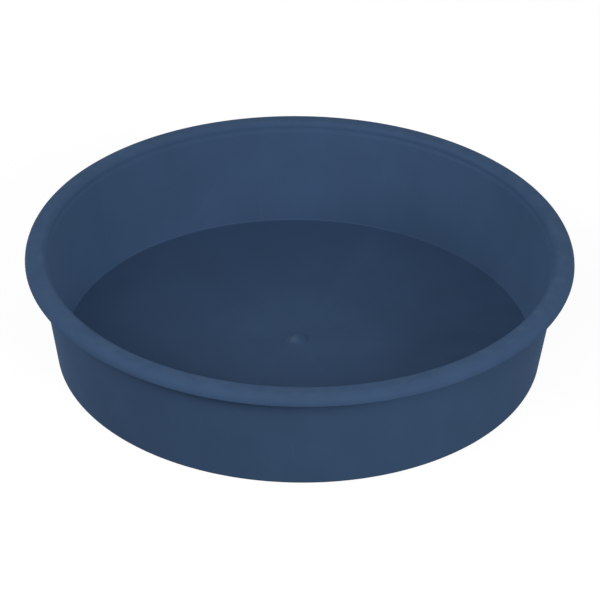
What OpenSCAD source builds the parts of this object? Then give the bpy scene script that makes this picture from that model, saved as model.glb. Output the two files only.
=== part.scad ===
// Round mud pan: one moulding with a flat floor, a drafted wall and a rounded rim, turned down over the wall.
// Lengths are in millimetres and angles in degrees. +Z is up, the pan stands on Z = 0 and is round about Z.

/* [Pan] */
// Outside diameter over the rim
rim_d = 300; // [220:1:420]
// Height from the resting face to the top of the rim
pan_h = 65; // [40:1:120]

/* [Wall and floor] */
// Thickness of the wall, square to its face
wall_t = 4.4; // [3.5:0.1:8]
// Angle by which the wall leans outwards
wall_draft = 8; // [2:0.5:18]
// Thickness of the floor
floor_t = 4; // [2:0.1:10]
// Radius inside the pan, where the wall meets the floor
floor_fillet_r = 0.8; // [0.5:0.1:15]
// Radius of the bottom outside edge
base_edge_r = 2; // [0.5:0.1:8]

/* [Rim] */
// How far the rim stands out from the wall
rim_overhang = 8; // [6.5:0.1:20]
// Height of the rim's outer side, from its lower edge to its top
rim_h = 5.8; // [5.8:0.1:20]
// Thickness of the rim's top, over the groove on its underside
rim_top_t = 3.4; // [2.5:0.1:4.5]
// Thickness of the rim's turned-down lip, outside the groove
rim_lip_t = 3.5; // [2:0.1:5]
// Radius of the rim's top outside edge
rim_edge_r = 5.4; // [1:0.1:5.4]
// Radius of the lip's lower outside edge
rim_lip_r = 0.3; // [0.1:0.1:0.4]
// Radius in the top corners of the groove under the rim
rim_groove_r = 1; // [0.2:0.1:1.2]

/* [Mouth] */
// Depth of the upper edge of the soft step inside the mouth, below the top of the rim
step_depth = 4.1; // [3.8:0.1:20]
// Width of the step
step_w = 0.8; // [0.4:0.1:3]
// Angle of the step's face above level
step_slope = 70; // [63:1:76]
// Radius of the step's two edges
step_edge_r = 4; // [0.5:0.1:6]
// Radius of the rim's top inside edge
mouth_edge_r = 3; // [0.5:0.1:3.3]

/* [Gate mark] */
// Diameter, at its foot, of the low pad left by the moulding gate in the middle of the floor
gate_d = 11; // [8:0.5:30]
// Height of the pad above the floor
gate_h = 1.6; // [0.8:0.1:2.5]
// Angle of the pad's side above level
gate_slope = 33; // [22:1:60]
// Radius where the pad meets the floor
gate_foot_r = 0.5; // [0.2:0.1:2]
// Radius of the pad's top edge
gate_edge_r = 1.2; // [0.2:0.1:2]

/* [Hidden] */
$fn = 180;

rim_r = rim_d / 2;
rim_low_z = pan_h - rim_h;
groove_z = pan_h - rim_top_t;
groove_r = rim_r - rim_lip_t;
step_top_z = pan_h - step_depth;
step_low_z = step_top_z - step_w * tan(step_slope);
gate_z = floor_t + gate_h;
corner_reach = 0.5;

// Radius of the wall's outside and inside face at height z
function outside_r(z) = rim_r - rim_overhang - (rim_low_z - z) * tan(wall_draft);
function inside_r(z) = outside_r(z) - wall_t / cos(wall_draft);

// Corners of the pan's section, as [radius, height], from the base up and over the rim to the gate mark
base_corner = [outside_r(0), 0];
groove_wall_corner = [outside_r(groove_z), groove_z];
groove_lip_corner = [groove_r, groove_z];
lip_inner_corner = [groove_r, rim_low_z];
lip_outer_corner = [rim_r, rim_low_z];
rim_corner = [rim_r, pan_h];
mouth_corner = [inside_r(step_low_z) + step_w, pan_h];
step_top_corner = [mouth_corner.x, step_top_z];
step_low_corner = [inside_r(step_low_z), step_low_z];
floor_corner = [inside_r(floor_t), floor_t];
gate_foot_corner = [gate_d / 2, floor_t];
gate_top_corner = [gate_d / 2 - gate_h / tan(gate_slope), gate_z];

// What lies between the corner at p, with its sides towards a and b, and an arc of radius r along both.
// It reaches past the two sides, so that it joins or cuts them without a skin in between.
module corner_piece(p, a, b, r) {
    to_a = (a - p) / norm(a - p);
    to_b = (b - p) / norm(b - p);
    half_angle = acos(to_a * to_b) / 2;
    along = r / tan(half_angle);
    centre = p + (to_a + to_b) / norm(to_a + to_b) * r / sin(half_angle);
    spread = 1 + corner_reach / r;
    translate(centre) difference() {
        polygon([[0, 0], for (q = [p + along * to_b, p, p + along * to_a]) spread * (q - centre)]);
        circle(r);
    }
}

// The pan's section on one side of its axis, with sharp corners
module sharp_section() {
    polygon([
        [0, 0], base_corner, groove_wall_corner, groove_lip_corner, lip_inner_corner, lip_outer_corner,
        rim_corner, mouth_corner, step_top_corner, step_low_corner, floor_corner,
        gate_foot_corner, gate_top_corner, [0, gate_z]
    ]);
}

// The section with its inner corners filled and its outer edges rounded
module section() {
    difference() {
        union() {
            sharp_section();
            corner_piece(groove_wall_corner, base_corner, groove_lip_corner, rim_groove_r);
            corner_piece(groove_lip_corner, groove_wall_corner, lip_inner_corner, rim_groove_r);
            corner_piece(step_top_corner, mouth_corner, step_low_corner, step_edge_r);
            corner_piece(floor_corner, step_low_corner, gate_foot_corner, floor_fillet_r);
            corner_piece(gate_foot_corner, floor_corner, gate_top_corner, gate_foot_r);
        }
        corner_piece(base_corner, [0, 0], groove_wall_corner, base_edge_r);
        corner_piece(lip_outer_corner, lip_inner_corner, rim_corner, rim_lip_r);
        corner_piece(rim_corner, lip_outer_corner, mouth_corner, rim_edge_r);
        corner_piece(mouth_corner, rim_corner, step_top_corner, mouth_edge_r);
        corner_piece(step_low_corner, step_top_corner, floor_corner, step_edge_r);
        corner_piece(gate_top_corner, gate_foot_corner, [0, gate_z], gate_edge_r);
    }
}

module pan() {
    color("#3a5170") rotate_extrude() section();
}

pan();
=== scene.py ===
import math

import bmesh
import bpy
from mathutils import Euler, Matrix, Vector


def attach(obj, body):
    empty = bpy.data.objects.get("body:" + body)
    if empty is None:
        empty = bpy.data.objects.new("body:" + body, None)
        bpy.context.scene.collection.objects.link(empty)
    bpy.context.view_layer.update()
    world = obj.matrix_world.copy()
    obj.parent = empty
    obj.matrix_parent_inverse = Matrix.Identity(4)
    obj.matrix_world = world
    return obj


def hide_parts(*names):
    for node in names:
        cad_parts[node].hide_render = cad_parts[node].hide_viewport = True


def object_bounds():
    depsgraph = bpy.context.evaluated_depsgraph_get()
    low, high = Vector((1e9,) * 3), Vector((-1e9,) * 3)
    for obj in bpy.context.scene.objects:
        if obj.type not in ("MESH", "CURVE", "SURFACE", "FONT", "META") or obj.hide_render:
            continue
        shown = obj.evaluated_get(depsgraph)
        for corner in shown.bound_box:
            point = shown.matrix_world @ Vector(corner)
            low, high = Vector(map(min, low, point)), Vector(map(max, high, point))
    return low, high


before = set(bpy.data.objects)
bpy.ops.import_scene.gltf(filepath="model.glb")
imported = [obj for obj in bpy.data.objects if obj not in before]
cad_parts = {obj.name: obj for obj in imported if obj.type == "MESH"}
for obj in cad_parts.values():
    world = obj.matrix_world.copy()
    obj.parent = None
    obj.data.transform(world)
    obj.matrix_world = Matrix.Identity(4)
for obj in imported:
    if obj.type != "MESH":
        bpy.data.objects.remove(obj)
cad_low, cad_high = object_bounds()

MM = 0.001

# Sizes of the moulding, in metres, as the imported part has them
rim_r = cad_high.x
pan_h = cad_high.z
wall_t = 4.4 * MM
wall_draft = math.radians(8)
floor_t = 4 * MM
floor_fillet_r = 0.8 * MM
base_edge_r = 2 * MM
rim_overhang = 8 * MM
rim_h = 5.8 * MM
rim_top_t = 3.4 * MM
rim_lip_t = 3.5 * MM
rim_edge_r = 5.4 * MM
rim_lip_r = 0.3 * MM
rim_groove_r = 1 * MM
step_depth = 4.1 * MM
step_w = 0.8 * MM
step_slope = math.radians(70)
step_edge_r = 4 * MM
mouth_edge_r = 3 * MM
gate_d = 11 * MM
gate_h = 1.6 * MM
gate_slope = math.radians(33)
gate_foot_r = 0.5 * MM
gate_edge_r = 1.2 * MM

rim_low_z = pan_h - rim_h
gate_z = floor_t + gate_h
step_top_z = pan_h - step_depth
step_low_z = step_top_z - step_w * math.tan(step_slope)

# How finely the round shapes are drawn
TURN_STEPS = 256
ARC_STEPS = 8
RING_NEAR = 0.01 * MM
SHARP_ANGLE = math.radians(30)

# The plastic's colours and shine
DARK_BLUE = "#364b67"
LIGHT_BLUE = "#3e5778"
# The pale blue of worn places, also used for the painted highlight on the gate mark
WEAR_AND_HIGHLIGHT_BLUE = "#8496a8"
PLASTIC_IOR = 1.49
PLASTIC_SPECULAR = 0.1
DULLEST = 0.9
LEAST_DULL = 0.8
PALE_POLISH = 0.3

# Sizes in its surface, and how far each kind of wear, and the painted highlight on the gate mark, goes
# towards the pale colour
CLOUD_SIZE = 28 * MM
FLOW_STREAKS = 40
STREAK_SHARE = 0.35
RUB_BAND = 1.2 * MM
RUB_PATCH = 7 * MM
RUB_FROM = 0.42
RUB_FULL = 0.68
RUB_PALE = 0.04
SCUFF_TURNS = [math.radians(35), math.radians(-55)]
SCUFF_LENGTH = 45 * MM
SCUFF_WIDTH = 0.7 * MM
SCUFF_FROM = 0.68
SCUFF_FULL = 0.76
SCUFF_PALE = 0.02
# A painted highlight on the gate mark's front-left slope, standing in for light from the front-left
GATE_HIGHLIGHT_AT = (-3 * MM, -2.4 * MM, gate_z)
GATE_HIGHLIGHT_R = 4.5 * MM
GATE_HIGHLIGHT_PALE = 0.15
GRAIN_SIZE = 0.9 * MM
GRAIN_DEPTH = 0.012 * MM

# A Mix node's sockets share their names, so they go by number
MIX_SHARE = 0
MIX_VALUES = (2, 3)
MIX_COLOURS = (6, 7)
MIX_VALUE_OUT = 0
MIX_COLOUR_OUT = 2

# The studio: the floor, the room's level, and the lamps with their azimuth, elevation and watts
FLOOR_W = 4
FLOOR_Z = -0.1 * MM
PAPER_GLOW = 0.905
PAPER_SHADE = 0.15
ROOM_LEVEL = 0.01
LAMP_DISTANCE = 2
LAMP_W = 1.3
LAMP_H = 0.75
LAMPS = [
    ("lamp_left", -75, 25, 9.7),
    ("lamp_behind_left", -110, 25, 10),
    ("lamp_front_left", -40, 40, 9.2),
    ("lamp_over_camera", 0, 40, 7.7),
    ("lamp_front_right", 40, 25, 24.5),
    ("lamp_behind_right", 145, 25, 9.2),
]

# The camera: where it looks, from where, and its focal length in pixels of the photograph's frame
CAMERA_TARGET = Vector((0.43, 0, 29.2)) * MM
CAMERA_DISTANCE = 1.7
CAMERA_ELEVATION = math.radians(32.09)
CAMERA_ROLL = math.radians(0.79)
SENSOR_W = 36
FOCAL_PIXELS = 3078
FRAME_PIXELS = 600
VIEW_END = 50


def srgb(hex_colour):
    """The linear colour, with alpha, of an sRGB hex value."""
    parts = [int(hex_colour[i : i + 2], 16) / 255 for i in (1, 3, 5)]
    linear = [p / 12.92 if p <= 0.04045 else ((p + 0.055) / 1.055) ** 2.4 for p in parts]
    return (*linear, 1)


def add_node(owner, kind, links=None, inputs=None, **settings):
    """Adds a shader node with its settings, its input values and the sockets that feed it."""
    tree = owner.node_tree
    made = tree.nodes.new(kind)
    for name, value in settings.items():
        setattr(made, name, value)
    for name, value in (inputs or {}).items():
        made.inputs[name].default_value = value
    for name, socket in (links or {}).items():
        tree.links.new(socket, made.inputs[name])
    return made


def outside_r(z):
    """Radius of the wall's outside face at height z."""
    return rim_r - rim_overhang - (rim_low_z - z) * math.tan(wall_draft)


def inside_r(z):
    """Radius of the wall's inside face at height z."""
    return outside_r(z) - wall_t / math.cos(wall_draft)


def pan_corners():
    """The section's corners as (radius, height, edge radius), from the base over the rim to the gate mark."""
    groove_r = rim_r - rim_lip_t
    groove_z = pan_h - rim_top_t
    mouth_r = inside_r(step_low_z) + step_w
    return [
        (outside_r(0), 0, base_edge_r),
        (outside_r(groove_z), groove_z, rim_groove_r),
        (groove_r, groove_z, rim_groove_r),
        (groove_r, rim_low_z, rim_lip_r),
        (rim_r, rim_low_z, rim_lip_r),
        (rim_r, pan_h, rim_edge_r),
        (mouth_r, pan_h, mouth_edge_r),
        (mouth_r, step_top_z, step_edge_r),
        (inside_r(step_low_z), step_low_z, step_edge_r),
        (inside_r(floor_t), floor_t, floor_fillet_r),
        (gate_d / 2, floor_t, gate_foot_r),
        (gate_d / 2 - gate_h / math.tan(gate_slope), gate_z, gate_edge_r),
    ]


def select_ring(pan, radius, height):
    """Selects the edges of the ring at one radius and height, and nothing else."""
    bpy.ops.mesh.select_all(action="DESELECT")
    bm = bmesh.from_edit_mesh(pan.data)
    for edge in bm.edges:
        ends = [(math.hypot(vert.co.x, vert.co.y), vert.co.z) for vert in edge.verts]
        if all(math.dist(end, (radius, height)) < RING_NEAR for end in ends):
            edge.select_set(True)
    bmesh.update_edit_mesh(pan.data)


def draw_ring(from_ring, to_ring):
    """Extrudes the selected ring to another radius and height."""
    rise = to_ring[1] - from_ring[1]
    spread = to_ring[0] / from_ring[0]
    bpy.ops.mesh.extrude_edges_move(TRANSFORM_OT_translate={"value": (0, 0, rise)})
    bpy.ops.transform.resize(value=(spread, spread, 1), center_override=(0, 0, to_ring[1]))


def round_ring(pan, corner, before, after):
    """Bevels the ring at a corner of the section to an arc of the corner's edge radius."""
    radius, height, edge_r = corner
    at = Vector((radius, height))
    to_before = (Vector(before[:2]) - at).normalized()
    to_after = (Vector(after[:2]) - at).normalized()
    half_angle = to_before.angle(to_after) / 2
    select_ring(pan, radius, height)
    bpy.ops.mesh.bevel(
        offset=edge_r / math.tan(half_angle),
        segments=ARC_STEPS,
        profile=0.5,
        affect="EDGES",
        clamp_overlap=False,
    )


def model_pan():
    """The whole moulding, drawn ring by ring from the resting face over the rim to the gate mark."""
    bpy.ops.object.select_all(action="DESELECT")
    corners = pan_corners()
    base_r = corners[0][0]
    bpy.ops.mesh.primitive_circle_add(
        vertices=TURN_STEPS, radius=base_r, fill_type="TRIFAN", location=(0, 0, 0)
    )
    pan = bpy.context.object
    pan.name = "pan_moulding"
    bpy.ops.object.mode_set(mode="EDIT")
    bpy.ops.mesh.select_mode(type="EDGE")
    select_ring(pan, base_r, 0)
    for here, there in zip(corners, corners[1:]):
        draw_ring(here, there)
    # The last ring closes to a point in the middle of the gate mark
    draw_ring(corners[-1], corners[-1])
    bpy.ops.mesh.merge(type="CENTER")
    ends = [(0, 0)] + corners + [(0, gate_z)]
    for before, corner, after in zip(ends, corners, ends[2:]):
        round_ring(pan, corner, before, after)
    bpy.ops.mesh.select_all(action="SELECT")
    bpy.ops.mesh.normals_make_consistent(inside=False)
    bpy.ops.object.mode_set(mode="OBJECT")
    bpy.ops.object.shade_smooth_by_angle(angle=SHARP_ANGLE)
    bpy.ops.object.modifier_add(type="WEIGHTED_NORMAL")
    weighted = pan.modifiers[-1]
    weighted.keep_sharp = True
    bpy.ops.object.modifier_apply(modifier=weighted.name)
    return pan


def pigment_shade(material, place):
    """Clouds in the pigment, and streaks that run out from the gate and up the wall, from 0 to 1."""
    clouds = add_node(
        material, "ShaderNodeTexNoise", {"Vector": place}, {"Scale": 1 / CLOUD_SIZE, "Detail": 3}
    )
    level = add_node(material, "ShaderNodeVectorMath", {0: place}, {1: (1, 1, 0)}, operation="MULTIPLY")
    heading = add_node(
        material, "ShaderNodeVectorMath", {0: level.outputs["Vector"]}, operation="NORMALIZE"
    )
    streaks = add_node(
        material,
        "ShaderNodeTexNoise",
        {"Vector": heading.outputs["Vector"]},
        {"Scale": FLOW_STREAKS / math.tau, "Detail": 2, "Distortion": 0.3},
    )
    shade = add_node(
        material,
        "ShaderNodeMix",
        dict(zip(MIX_VALUES, (clouds.outputs["Fac"], streaks.outputs["Fac"]))),
        {MIX_SHARE: STREAK_SHARE},
    )
    return shade.outputs[MIX_VALUE_OUT]


def rubbed_edges(material, place):
    """How far patches on the rim's crest and round the foot are rubbed pale."""
    height = add_node(material, "ShaderNodeSeparateXYZ", {"Vector": place}).outputs["Z"]
    crest = add_node(
        material,
        "ShaderNodeMapRange",
        {"Value": height},
        {"From Min": pan_h - RUB_BAND, "From Max": pan_h},
    )
    foot = add_node(
        material, "ShaderNodeMapRange", {"Value": height}, {"From Min": RUB_BAND, "From Max": 0}
    )
    edges = add_node(
        material,
        "ShaderNodeMath",
        {0: crest.outputs["Result"], 1: foot.outputs["Result"]},
        operation="MAXIMUM",
    )
    patches = add_node(
        material, "ShaderNodeTexNoise", {"Vector": place}, {"Scale": 1 / RUB_PATCH, "Detail": 4}
    )
    rubbed = add_node(
        material,
        "ShaderNodeMapRange",
        {"Value": patches.outputs["Fac"]},
        {"From Min": RUB_FROM, "From Max": RUB_FULL, "To Max": RUB_PALE},
    )
    pale = add_node(
        material,
        "ShaderNodeMath",
        {0: edges.outputs["Value"], 1: rubbed.outputs["Result"]},
        operation="MULTIPLY",
    )
    return pale.outputs["Value"]


def trowel_scuffs(material, place, turn):
    """Hairline scuffs in one direction. Real ones are about 0.1 mm wide, and are drawn wider to show."""
    along = add_node(
        material,
        "ShaderNodeMapping",
        {"Vector": place},
        {"Rotation": (0, 0, turn), "Scale": (SCUFF_LENGTH, SCUFF_WIDTH, SCUFF_LENGTH)},
        vector_type="TEXTURE",
    )
    lines = add_node(
        material, "ShaderNodeTexNoise", {"Vector": along.outputs["Vector"]}, {"Scale": 1, "Detail": 1}
    )
    scuffs = add_node(
        material,
        "ShaderNodeMapRange",
        {"Value": lines.outputs["Fac"]},
        {"From Min": SCUFF_FROM, "From Max": SCUFF_FULL, "To Max": SCUFF_PALE},
    )
    return scuffs.outputs["Result"]


def painted_gate_highlight(material, place):
    """A painted highlight: a pale patch on the gate mark's front-left slope, where light from the front-left
    falls.
    """
    away = add_node(material, "ShaderNodeVectorMath", {0: place}, {1: GATE_HIGHLIGHT_AT}, operation="DISTANCE")
    painted_highlight = add_node(
        material,
        "ShaderNodeMapRange",
        {"Value": away.outputs["Value"]},
        {"From Min": GATE_HIGHLIGHT_R, "From Max": 0, "To Max": GATE_HIGHLIGHT_PALE},
    )
    return painted_highlight.outputs["Result"]


def moulded_polypropylene():
    """Dark blue polypropylene, injection-moulded in a tool with a fine spark-eroded skin.

    It gives the eye a matt, finely grained surface with hardly any shine, a slightly cloudy colour, faint
    streaks where the melt ran out from the gate, and paler, smoother places where edges rub. A paler,
    smoother patch on the gate mark's front-left slope is a painted highlight of light from the front-left.
    """
    material = bpy.data.materials.new("moulded_polypropylene")
    material.use_nodes = True
    links = material.node_tree.links
    shader = material.node_tree.nodes["Principled BSDF"]
    shader.inputs["IOR"].default_value = PLASTIC_IOR
    shader.inputs["Specular IOR Level"].default_value = PLASTIC_SPECULAR
    place = add_node(material, "ShaderNodeTexCoord").outputs["Object"]

    shade = pigment_shade(material, place)
    pale = rubbed_edges(material, place)
    marks = [trowel_scuffs(material, place, turn) for turn in SCUFF_TURNS]
    # The pale mask gathers the rubbed edges, the scuffs and the painted highlight on the gate mark
    for mark in marks + [painted_gate_highlight(material, place)]:
        either = add_node(material, "ShaderNodeMath", {0: pale, 1: mark}, operation="MAXIMUM")
        pale = either.outputs["Value"]

    skin = add_node(
        material,
        "ShaderNodeMix",
        {MIX_SHARE: shade},
        dict(zip(MIX_COLOURS, (srgb(DARK_BLUE), srgb(LIGHT_BLUE)))),
        data_type="RGBA",
    )
    # Towards pale blue where edges are worn and where the gate mark's highlight is painted
    wear_and_highlight = add_node(
        material,
        "ShaderNodeMix",
        {MIX_SHARE: pale, MIX_COLOURS[0]: skin.outputs[MIX_COLOUR_OUT]},
        {MIX_COLOURS[1]: srgb(WEAR_AND_HIGHLIGHT_BLUE)},
        data_type="RGBA",
    )
    links.new(wear_and_highlight.outputs[MIX_COLOUR_OUT], shader.inputs["Base Color"])

    dull = add_node(
        material, "ShaderNodeMapRange", {"Value": shade}, {"To Min": DULLEST, "To Max": LEAST_DULL}
    )
    smoother = add_node(
        material,
        "ShaderNodeMath",
        {0: pale, 2: dull.outputs["Result"]},
        {1: -PALE_POLISH},
        operation="MULTIPLY_ADD",
    )
    links.new(smoother.outputs["Value"], shader.inputs["Roughness"])

    # The tool's grain is about 0.25 mm wide, too fine to show here, so it is drawn wider
    grain = add_node(
        material, "ShaderNodeTexNoise", {"Vector": place}, {"Scale": 1 / GRAIN_SIZE, "Detail": 1}
    )
    bump = add_node(
        material, "ShaderNodeBump", {"Height": grain.outputs["Fac"]}, {"Strength": 1, "Distance": GRAIN_DEPTH}
    )
    links.new(bump.outputs["Normal"], shader.inputs["Normal"])
    return material


def seen_directly(owner):
    """One for a ray from the camera, off gloss or through glass, and nothing for light on a matt surface."""
    ray = add_node(owner, "ShaderNodeLightPath")
    seen = ray.outputs["Is Camera Ray"]
    for kind in ("Is Glossy Ray", "Is Transmission Ray"):
        either = add_node(owner, "ShaderNodeMath", {0: seen, 1: ray.outputs[kind]}, operation="MAXIMUM")
        seen = either.outputs["Value"]
    return seen


def white_paper():
    """Matt white paper, which reads as plain white and still takes a soft shadow."""
    material = bpy.data.materials.new("white_paper")
    material.use_nodes = True
    material.node_tree.nodes.clear()
    seen = seen_directly(material)
    glow = add_node(material, "ShaderNodeMath", {0: seen}, {1: PAPER_GLOW}, operation="MULTIPLY")
    white = add_node(material, "ShaderNodeEmission", {"Strength": glow.outputs["Value"]})
    paper = add_node(material, "ShaderNodeBsdfDiffuse", inputs={"Color": (*[PAPER_SHADE] * 3, 1)})
    both = add_node(
        material, "ShaderNodeAddShader", {0: white.outputs["Emission"], 1: paper.outputs["BSDF"]}
    )
    add_node(material, "ShaderNodeOutputMaterial", {"Surface": both.outputs["Shader"]})
    material.cycles.emission_sampling = "NONE"
    return material


def lay_floor():
    """A sheet of paper just under the pan's resting face."""
    bpy.ops.object.select_all(action="DESELECT")
    bpy.ops.mesh.primitive_plane_add(size=FLOOR_W, location=(0, 0, FLOOR_Z))
    floor = bpy.context.object
    floor.name = "studio_floor"
    floor.data.materials.append(white_paper())


def studio_camera():
    """The photograph's view: a long lens, from above and in front."""
    data = bpy.data.cameras.new("camera")
    data.sensor_width = SENSOR_W
    data.lens = SENSOR_W * FOCAL_PIXELS / FRAME_PIXELS
    data.clip_end = VIEW_END
    camera = bpy.data.objects.new("camera", data)
    bpy.context.scene.collection.objects.link(camera)
    back = Vector((0, -math.cos(CAMERA_ELEVATION), math.sin(CAMERA_ELEVATION)))
    camera.location = CAMERA_TARGET + CAMERA_DISTANCE * back
    tilt = Euler((math.pi / 2 - CAMERA_ELEVATION, 0, 0)).to_matrix()
    camera.rotation_euler = (tilt @ Matrix.Rotation(CAMERA_ROLL, 3, "Z")).to_euler()
    bpy.context.scene.camera = camera


def white_room():
    """A room that is white to the eye, and gives only a little even light."""
    world = bpy.data.worlds.new("white_room")
    world.use_nodes = True
    background = world.node_tree.nodes["Background"]
    background.inputs["Color"].default_value = (1, 1, 1, 1)
    seen = seen_directly(world)
    level = add_node(world, "ShaderNodeMath", {0: seen}, {1: ROOM_LEVEL}, operation="MAXIMUM")
    world.node_tree.links.new(level.outputs["Value"], background.inputs["Strength"])
    bpy.context.scene.world = world


def hang_lamp(name, azimuth, elevation, watts):
    """A broad soft lamp that faces the pan. Azimuth 0 is the camera's side, and it grows to the right."""
    data = bpy.data.lights.new(name, "AREA")
    data.shape = "RECTANGLE"
    data.size = LAMP_W
    data.size_y = LAMP_H
    data.energy = watts
    lamp = bpy.data.objects.new(name, data)
    bpy.context.scene.collection.objects.link(lamp)
    turn = math.radians(azimuth)
    rise = math.radians(elevation)
    reach = math.cos(rise)
    away = Vector((math.sin(turn) * reach, -math.cos(turn) * reach, math.sin(rise)))
    lamp.location = away * LAMP_DISTANCE
    lamp.rotation_euler = away.to_track_quat("Z", "Y").to_euler()


pan = model_pan()
pan.data.materials.append(moulded_polypropylene())
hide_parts("pan")
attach(pan, "root")

lay_floor()
studio_camera()
white_room()
for lamp_row in LAMPS:
    hang_lamp(*lamp_row)
bpy.context.scene.view_settings.view_transform = "Standard"
